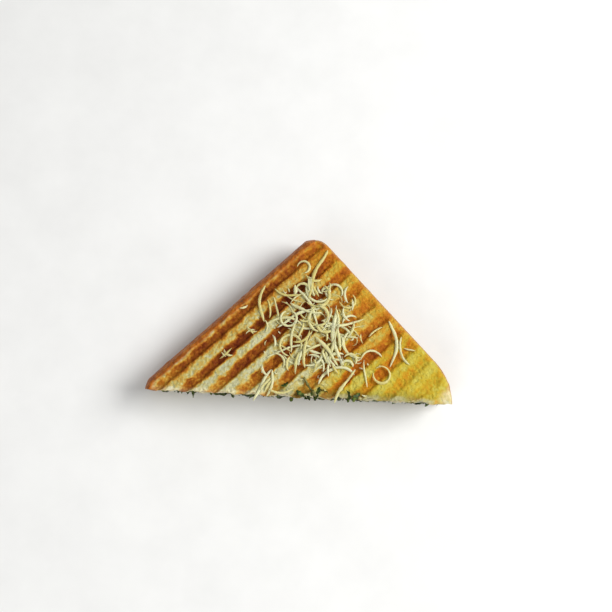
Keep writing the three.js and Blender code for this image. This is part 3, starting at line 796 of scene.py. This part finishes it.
def toasted_top(x, y):
    """The upper slice's pressed face: ridges, grooves between them, and a rounded crust."""
    points = np.stack([x, y, np.zeros_like(x)], axis=-1).reshape(-1, 3)
    grooves = GRILL_DEPTH * groove_depth(x.ravel(), y.ravel(), points).reshape(x.shape)
    return ridge_height(x, y) - grooves - edge_drop(edge_distance(x, y))


def upper_inner(x, y):
    """The upper slice's hidden face, over the filling."""
    return FILLING_TOP_AT_CRUST + GAP + middle_lift(x, y)


upper_slice = make_slice("upper_slice", toasted_top, upper_inner, 1.0, 0.4, 200)
upper_slice.data.materials.append(bread_finish)
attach(upper_slice, "root")
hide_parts("bread_top")

# ======== The grated cheese ========
# A pale, soft cheese pushed through a coarse grater: flattened shreds that curl as they dry. They
# are dropped in a loose heap and lie on the ridges and on each other, and a few fell apart.

STRANDS = (
    # middle x, middle y, heading, length, turn, thickness
    (1.0, 58.0, -109, 26.1, 4, 1.9),
    (-23.9, 42.5, -89, 18.5, 55, 1.5),
    (-12.9, 47.4, -14, 12.3, 65, 1.2),
    (3.9, 45.3, 45, 20.2, 194, 1.4),
    (11.0, 28.1, -83, 27.5, 23, 1.9),
    (9.5, 21.8, -101, 13.1, 26, 1.4),
    (-2.6, 21.7, -99, 18.0, 66, 1.5),
    (38.5, 26.7, -87, 23.4, -51, 1.6),
    (42.6, 23.2, -74, 14.9, 88, 1.3),
    (27.5, 21.3, 14, 13.5, -143, 1.2),
    (25.3, 12.0, -82, 13.3, 26, 1.1),
    (18.9, 19.0, -27, 10.1, -200, 1.2),
    (15.7, 5.8, -120, 18.7, 26, 1.5),
    (-21.7, 4.4, -117, 16.8, 16, 1.6),
    (-17.6, 5.2, -98, 13.0, -40, 1.3),
    (-13.0, 1.8, 2, 12.2, 67, 1.2),
    (-38.3, 18.1, -37, 6.1, 120, 1.2),
    (-27.9, 29.5, -30, 6.2, 110, 1.2),
    (-32.0, 40.5, 24, 4.6, 60, 1.2),
    (-0.4, 55.0, -16, 9.2, 115, 1.4),
    (-11.0, 35.4, 0, 21.0, 330, 1.2),
    (3.5, 37.5, 90, 24.0, 300, 1.3),
    (33.3, 11.6, 60, 22.5, 330, 1.2),
    (-17.0, 41.0, -75, 10.5, -25, 0.9),
    (-20.0, 40.0, -80, 9.5, -55, 0.9),
    (-9.0, 27.0, -95, 15.0, 15, 1.1),
    (2.5, 50.0, -65, 5.0, 110, 1.2),
    (7.0, 35.5, -110, 13.0, -45, 0.9),
    (11.5, 35.0, -90, 14.0, -30, 1.3),
    (15.0, 39.0, -70, 8.5, 100, 1.0),
    (7.5, 21.5, -50, 17.5, -5, 1.6),
    (1.5, 20.5, -15, 6.5, 35, 1.2),
    (-4.0, 26.5, 35, 11.0, 100, 1.2),
    (2.0, 14.5, -85, 6.0, -90, 1.1),
    (23.0, 28.0, -80, 5.0, 55, 0.9),
    (29.5, 32.0, 40, 8.5, -25, 1.0),
    (18.5, 44.0, 90, 6.0, 35, 1.0),
    (-13.5, 16.5, -55, 10.0, -130, 1.1),
    (-21.0, 10.5, -60, 6.5, 75, 1.1),
    (-10.5, 14.5, -95, 7.0, 80, 1.2),
    (14.0, 17.0, -60, 5.0, 0, 1.1),
    (-17.0, 25.0, -75, 6.5, -70, 1.2),
    (-21.0, 31.5, 90, 7.0, 85, 1.0),
    (18.5, 32.0, 70, 8.0, 55, 1.3),
    (14.0, 26.5, -80, 6.0, -85, 1.1),
    (-3.0, 35.0, -170, 7.0, -105, 0.9),
    (6.5, 51.0, 50, 8.0, 150, 0.9),
    (-8.5, 49.5, -85, 5.0, 0, 1.9),
    (-4.5, 61.5, -40, 13.0, -260, 1.2),
    (46.0, 24.5, -10, 6.0, 0, 0.8),
    (-39.0, 18.0, 45, 8.0, 15, 0.8),
    (-40.0, 17.5, -45, 3.5, 0, 0.8),
    (-28.5, 29.0, 30, 5.5, -90, 0.8),
    (-28.0, 29.0, -50, 4.0, 0, 0.8),
    (-2.2, 52.0, -84, 9.0, 20, 1.2),
    (-1.0, 51.2, -78, 10.0, 25, 1.3),
    (0.3, 50.4, -64, 9.0, 35, 1.2),
    (6.6, 18.0, -62, 7.5, 20, 1.3),
    (7.8, 17.4, -70, 8.0, 15, 1.2),
    (9.1, 16.8, -52, 7.5, 20, 1.2),
    (8.2, 12.6, -88, 6.5, 25, 1.1),
    (11.0, 13.4, -55, 6.0, 15, 1.1),
    (12.6, 17.2, -8, 6.0, -45, 1.0),
    (-5.2, 17.4, -100, 7.5, 25, 1.2),
    (-6.5, 16.8, -108, 7.0, 20, 1.2),
    (-20.3, 4.8, -128, 7.5, 15, 1.3),
    (-19.0, 4.0, -120, 6.0, 10, 1.2),
    (12.3, 29.5, -84, 16.0, 20, 1.3),
    (10.2, 30.5, -86, 12.0, 14, 1.2),
)
SCATTERED_STRANDS = 32
FINE_STRANDS = 40
CHEESE_CRUMBS = 60
HEAP_CENTRE = np.array([5.0, 32.0])
HEAP_REACH = np.array([20.0, 23.0])
HEAP_HEIGHT = 3.6
HIGHEST_CROSSING = 2.0
STRAND_BENDS_PAST = 0.6
STRAND_DROOP = 0.25
STRAND_STIFFNESS = 5
SHRED_FLATNESS = 0.6
SHRED_POINTS = 10
MAP_CELL = 0.25
MAP_LOW = np.array([-80.0, -8.0])
MAP_SIZE = (640, 360)


def scattered(index, length, thickness, reach=1.0, gathered=0.7):
    """A strand dropped round the heap's centre, closest together in the middle.

    Its way out from the centre is the reach times a draw to a power: the higher, the closer in.
    """
    around = 2 * np.pi * spread(index)
    out = reach * draw(index, 1) ** gathered
    x, y = HEAP_CENTRE + HEAP_REACH * out * np.array([np.cos(around), np.sin(around)])
    turn = 20 + 280 * draw(index, 4) ** 1.5
    size = length[0] + (length[1] - length[0]) * draw(index, 3)
    thick = thickness[0] + (thickness[1] - thickness[0]) * draw(index, 5)
    return (x, y, 360 * draw(index, 2), size, turn, thick)


def strand_line(strand, step=0.4):
    """The strand's middle line in the plan: an arc that turns evenly. The straighter ones sway."""
    x, y, heading, length, turn, _ = strand
    count = max(6, int(length / step))
    share = (np.arange(count) + 0.5) / count - 0.5
    sway = 0.5 * length * (1.0 - abs(turn) / 360.0) ** 2 * np.sin(2 * np.pi * (1.1 * share + x))
    angle = np.radians(heading + turn * share + sway)
    line = np.cumsum(np.stack([np.cos(angle), np.sin(angle)], axis=1), axis=0) * length / count
    return line - line.mean(axis=0) + (x, y)


def map_place(line):
    """The cells of the height map that a line passes over."""
    cell = np.round((line - MAP_LOW) / MAP_CELL).astype(int)
    return np.clip(cell, 0, np.array(MAP_SIZE) - 1)


def smoothed(values, reach):
    """Averages each value with its neighbours along the strand."""
    window = np.hanning(2 * reach + 3)[1:-1]
    padded = np.pad(values, reach, mode="edge")
    return np.convolve(padded, window / window.sum(), mode="valid")


def settle(strand, height_map):
    """Lets a strand down on what lies under it, and adds it to the height map.

    It rests on the highest cells below it and bridges the hollows between them, as something a
    little stiff does. Past the cut it has nothing under it, so it bends down.
    """
    line = strand_line(strand)
    thick = strand[5]
    half = 0.5 * SHRED_FLATNESS * thick
    along = np.gradient(line, axis=0)
    along /= np.linalg.norm(along, axis=1, keepdims=True)
    beside = np.stack([-along[:, 1], along[:, 0]], axis=1)
    under = np.full(len(line), -1e9)
    for offset in (-0.4, 0.0, 0.4):
        cell = map_place(line + offset * thick * beside)
        under = np.maximum(under, height_map[cell[:, 0], cell[:, 1]])
    padded = np.pad(under, STRAND_STIFFNESS, mode="edge")
    peaks = np.lib.stride_tricks.sliding_window_view(padded, 2 * STRAND_STIFFNESS + 1).max(axis=1)
    level = np.maximum(smoothed(peaks, STRAND_STIFFNESS), under) + half
    level = smoothed(level, 2)
    rest = ridge_height(*line.T) - edge_drop(edge_distance(*line.T))
    from_middle = (line - HEAP_CENTRE) / HEAP_REACH
    highest = HIGHEST_CROSSING + 0.4 * HEAP_HEIGHT * np.exp(-2.2 * (from_middle ** 2).sum(axis=1))
    above = np.clip(level - rest, 0.0, None)
    level = np.minimum(level, rest) + highest * (1.0 - np.exp(-above / highest))
    past = np.clip(-STRAND_BENDS_PAST - line[:, 1], 0.0, None)
    level = level - STRAND_DROOP * past ** 2
    for offset in np.arange(-0.5, 0.51, 0.125):
        cell = map_place(line + offset * thick * beside)
        rounded = half * np.sqrt(1 - (1.8 * offset) ** 2)
        np.maximum.at(height_map, (cell[:, 0], cell[:, 1]), level + rounded)
    return np.concatenate([line, level[:, None]], axis=1)


def carried(path, across, up):
    """Rings of points as offsets from a path: across is level and square to it, up is over it."""
    along = np.gradient(path, axis=0)
    along /= np.linalg.norm(along, axis=1, keepdims=True)
    beside = np.cross([0.0, 0.0, 1.0], along)
    beside /= np.linalg.norm(beside, axis=1, keepdims=True)
    above = np.cross(along, beside)
    return across[..., None] * beside[:, None, :] + up[..., None] * above[:, None, :]


def shred(path, thick, index):
    """A shred: a flattened ring of ten points carried along its line, twisting as it goes.

    It is a ribbon, broadest somewhere near its middle, that tapers to thin ends. One side is
    hollow, as the grater's blade leaves it, and the width wavers along it.
    """
    count = len(path)
    share = np.linspace(0.0, 1.0, count)[:, None]
    around = np.linspace(0.0, 2 * np.pi, SHRED_POINTS + 1)[:-1][None, :]
    broadest = np.sin(np.pi * (0.04 + 0.92 * share) ** (0.65 + 0.8 * draw(index, 14)))
    taper = np.clip(np.minimum(share, 1 - share) * count / 5.0 + 0.3, 0.0, 1.0) ** 0.7
    waver = 1.0 + 0.22 * grain(path * (1.0, 1.0, 0.3), 3.2, 400 + index)[:, None]
    ribbon = (0.44 + 0.54 * broadest ** 0.8) * taper * waver
    wide = 0.5 * thick * ribbon * np.cos(around)
    hollow = 0.3 * np.cos(around) ** 2 * (np.sin(around) > 0)
    half_depth = 0.5 * thick * SHRED_FLATNESS * (0.55 + 0.3 * broadest) * taper
    deep = half_depth * (np.sin(around) - hollow)
    twist = (draw(index, 11) - 0.5) * 2.2 * (share - 0.5) + 0.7 * (draw(index, 12) - 0.5)
    across = wide * np.cos(twist) - deep * np.sin(twist)
    up = wide * np.sin(twist) + deep * np.cos(twist)
    off = carried(path, across, up)
    ring = path[:, None, :] + off
    ragged = grain(ring.reshape(-1, 3), 0.55, 700).reshape(ring.shape[:2])
    ring = ring + 0.22 * ragged[..., None] * off
    return np.concatenate([ring.reshape(-1, 3), path[[0, -1]]]), (count, SHRED_POINTS)


def cheese_finish():
    """Soft pale cheese: creamy and a little see-through, some shreds yellower than others."""
    material, tree, shader = start_material("soft_cheese")
    mottle = maths(tree, "MULTIPLY", speckle(tree, 2.5, 2.0), 0.4)
    tone = maths(tree, "ADD", mask_of(tree, "tone"), mottle)
    colour = colour_ramp(tree, tone, (
        (0.1, tint(207, 207, 168)), (0.5, tint(202, 197, 142)), (0.9, tint(195, 181, 106)),
    ))
    tree.links.new(colour, shader.inputs["Base Color"])
    shader.inputs["Roughness"].default_value = 0.5
    shader.inputs["Specular IOR Level"].default_value = 0.25
    shader.inputs["Subsurface Weight"].default_value = 0.6
    shader.inputs["Subsurface Radius"].default_value = (0.85, 0.8, 0.85)
    shader.inputs["Subsurface Scale"].default_value = 1.4 * MM
    pit_with(tree, shader, speckle(tree, 0.7, 3.0), 0.3, 0.3)
    return material


def shreds_mesh(name, strands):
    """All the given settled shreds in one mesh."""
    parts = [shred(path, thick, index) for index, thick, path in strands]
    tones = [0.65 * draw(index, 13) ** 1.5 for index, _, _ in strands]
    tone = np.repeat(tones, [len(grid) for grid, _ in parts])
    piece = lay_mesh(name, *joined_parts(parts), {"tone": tone})
    piece.data.materials.append(cheese)
    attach(piece, "root")
    return piece


map_x = MAP_LOW[0] + MAP_CELL * np.arange(MAP_SIZE[0])
map_y = MAP_LOW[1] + MAP_CELL * np.arange(MAP_SIZE[1])
map_grid = np.meshgrid(map_x, np.clip(map_y, 0.0, None), indexing="ij")
cheese_map = toasted_top(map_grid[0], map_grid[1])


def on_the_slice(strand):
    """Whether a strand stays clear of the crusts and of the cut, a fine one well clear."""
    line = strand_line(strand)
    margin = 11.0 if strand[5] < 1.0 else 2.5
    return edge_distance(*line.T).min() > margin and line[:, 1].min() > 0.5


crumbs = [
    scattered(index, (1.0, 3.2), (0.6, 1.0), 1.7, 0.5) for index in range(300, 300 + CHEESE_CRUMBS)
]
fine = [
    scattered(index, (4.0, 14.0), (0.4, 0.9), 1.0, 0.55) for index in range(100, 100 + FINE_STRANDS)
]
scatter = [scattered(index, (8.0, 25.0), (1.0, 1.5)) for index in range(SCATTERED_STRANDS)]
strands = [strand for strand in crumbs + fine + scatter if on_the_slice(strand)]
strands += STRANDS
settled = [(index, strand[5], settle(strand, cheese_map)) for index, strand in enumerate(strands)]


def in_heap(path):
    """Whether a strand's middle lies inside the heap's reach, an ellipse."""
    off = (path[:, :2].mean(axis=0) - HEAP_CENTRE) / (HEAP_REACH * 1.05)
    return np.hypot(*off) < 1.0


cheese = cheese_finish()
heap = shreds_mesh("cheese_heap", [item for item in settled if in_heap(item[2])])
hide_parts("grated_cheese")
loose = shreds_mesh("loose_shreds", [item for item in settled if not in_heap(item[2])])
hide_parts("bread_top")

# ======== The stem of herb ========
# A cut stem and a few torn leaves that came out with the filling. They lie on the toast, at the
# cut.

# middle x, middle y, heading, length, turn, thickness
HERB_STEM = (0.1, 4.4, -55, 10.9, 10, 1.4)
HERB_LEAVES = (
    # middle x, middle y, length, half width, turn
    (-11.5, 5.0, 3.4, 0.9, 0.9),
    (3.5, 1.2, 6.5, 1.5, 0.2),
    (6.5, 3.4, 4.2, 1.2, 2.2),
    (17.5, 1.0, 6.0, 1.7, -0.3),
    (21.5, 0.6, 5.0, 1.4, 0.5),
    (-3.5, 1.0, 5.4, 1.3, -0.8),
    (0.4, 1.4, 4.4, 1.1, 0.7),
)


def herb_stem(path):
    """The stem: a round ring of eight points carried along its line, tapering, with two joints."""
    share = np.linspace(0.0, 1.0, len(path))[:, None]
    around = np.linspace(0.0, 2 * np.pi, 9)[:-1][None, :]
    joints = 0.3 * np.exp(-((share - 0.35) / 0.04) ** 2)
    joints += 0.25 * np.exp(-((share - 0.75) / 0.04) ** 2)
    radius = HERB_STEM[5] * (0.42 - 0.16 * share + joints)
    radius = radius * np.clip(8 * np.minimum(share, 1 - share) + 0.5, 0.0, 1.0)
    ring = path[:, None, :] + carried(path, radius * np.cos(around), radius * np.sin(around))
    return np.concatenate([ring.reshape(-1, 3), path[[0, -1]]]), (len(path), 8)


def herb_finish():
    """A wilted stem and leaves: olive brown to dark green, a little moist."""
    material, tree, shader = start_material("herb")
    olive = colour_ramp(tree, speckle(tree, 2.0, 3.0), (
        (0.36, tint(60, 60, 22)), (0.5, tint(100, 96, 44)), (0.64, tint(134, 126, 70)),
    ))
    leaf = colour_ramp(tree, speckle(tree, 1.6, 3.0), (
        (0.36, tint(26, 38, 10)), (0.5, tint(50, 68, 20)), (0.64, tint(98, 110, 44)),
    ))
    tree.links.new(blend(tree, mask_of(tree, "leaf"), olive, leaf), shader.inputs["Base Color"])
    shader.inputs["Roughness"].default_value = 0.5
    shader.inputs["Specular IOR Level"].default_value = 0.2
    return material


leaves = [
    leaf_scrap(index, (x, y, ridge_height(x, y) - 0.2), length, width, turn, 0.5)
    for index, (x, y, length, width, turn) in enumerate(HERB_LEAVES)
]
stem = herb_stem(settle(HERB_STEM, cheese_map))
points, quads, fans = joined_parts([stem, *leaves])
leaf = np.append(np.zeros(len(stem[0])), np.ones(len(points) - len(stem[0])))
herb = lay_mesh("herb_stem", points, quads, fans, {"leaf": leaf})
herb.data.materials.append(herb_finish())
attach(herb, "root")
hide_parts("bread_top")

# ======== The table, the light and the camera ========
# A plain pale table under the sandwich. A broad soft lamp stands high on the right, a weak one
# on the side of the cut, and the room's own light fills the shadows.

TABLE_SIZE = 3.0
LAMP_AIM = (0.0, 0.0, 0.02)
ROOM_LIGHT = 0.36
CAMERA_DISTANCE = 0.45
CAMERA_AZIMUTH = 15.0
CAMERA_ELEVATION = 80.35
CAMERA_ROLL = 17.9
CAMERA_TARGET = (0.0009, 0.0068, 0.020)
CAMERA_LENS = 56.4


def make_table():
    """A flat table top with a fine, barely seen grain."""
    half = TABLE_SIZE / 2
    mesh = bpy.data.meshes.new("table")
    corners = [(-half, -half, 0.0), (half, -half, 0.0), (half, half, 0.0), (-half, half, 0.0)]
    mesh.from_pydata(corners, [], [(0, 1, 2, 3)])
    table = bpy.data.objects.new("table", mesh)
    bpy.context.scene.collection.objects.link(table)
    material, tree, shader = start_material("pale_table")
    shade = colour_ramp(tree, speckle(tree, 30.0, 3.0), (
        (0.3, tint(226, 226, 224)), (0.7, tint(232, 232, 230)),
    ))
    tree.links.new(shade, shader.inputs["Base Color"])
    shader.inputs["Roughness"].default_value = 0.6
    mesh.materials.append(material)


def soft_lamp(name, place, size, watts):
    """A square area lamp turned towards the sandwich."""
    data = bpy.data.lights.new(name, "AREA")
    data.size = size
    data.energy = watts
    lamp = bpy.data.objects.new(name, data)
    bpy.context.scene.collection.objects.link(lamp)
    away = np.array(place) - np.array(LAMP_AIM)
    away /= np.linalg.norm(away)
    beside = np.cross([0.0, 1.0, 0.0], away)
    beside /= np.linalg.norm(beside)
    above = np.cross(away, beside)
    turned = np.eye(4)
    turned[:3, :] = np.stack([beside, above, away, np.array(place)], axis=1)
    lamp.matrix_world = Matrix(turned.tolist())


def place_camera():
    """A camera looking down at the sandwich, turned about its own line of sight."""
    azimuth, elevation, roll = np.radians([CAMERA_AZIMUTH, CAMERA_ELEVATION, CAMERA_ROLL])
    level = np.cos(elevation)
    ahead = np.array([np.sin(azimuth) * level, np.cos(azimuth) * level, -np.sin(elevation)])
    right = np.array([np.cos(azimuth), -np.sin(azimuth), 0.0])
    above = np.cross(right, ahead)
    turned_right = np.cos(roll) * right + np.sin(roll) * above
    turned_above = np.cos(roll) * above - np.sin(roll) * right
    place = np.array(CAMERA_TARGET) - CAMERA_DISTANCE * ahead
    turned = np.eye(4)
    turned[:3, :] = np.stack([turned_right, turned_above, -ahead, place], axis=1)
    data = bpy.data.cameras.new("camera")
    data.lens = CAMERA_LENS
    camera = bpy.data.objects.new("camera", data)
    camera.matrix_world = Matrix(turned.tolist())
    bpy.context.scene.collection.objects.link(camera)
    bpy.context.scene.camera = camera


make_table()
soft_lamp("window_lamp", (0.9, 0.22, 0.9), 0.72, 19.3)
soft_lamp("front_lamp", (-0.4, -0.6, 0.55), 0.6, 2.2)
world = bpy.data.worlds.new("soft_room")
world.use_nodes = True
room = world.node_tree.nodes["Background"]
room.inputs["Color"].default_value = (1.0, 1.0, 1.0, 1.0)
room.inputs["Strength"].default_value = ROOM_LIGHT
bpy.context.scene.world = world
bpy.context.scene.view_settings.view_transform = "Standard"
place_camera()
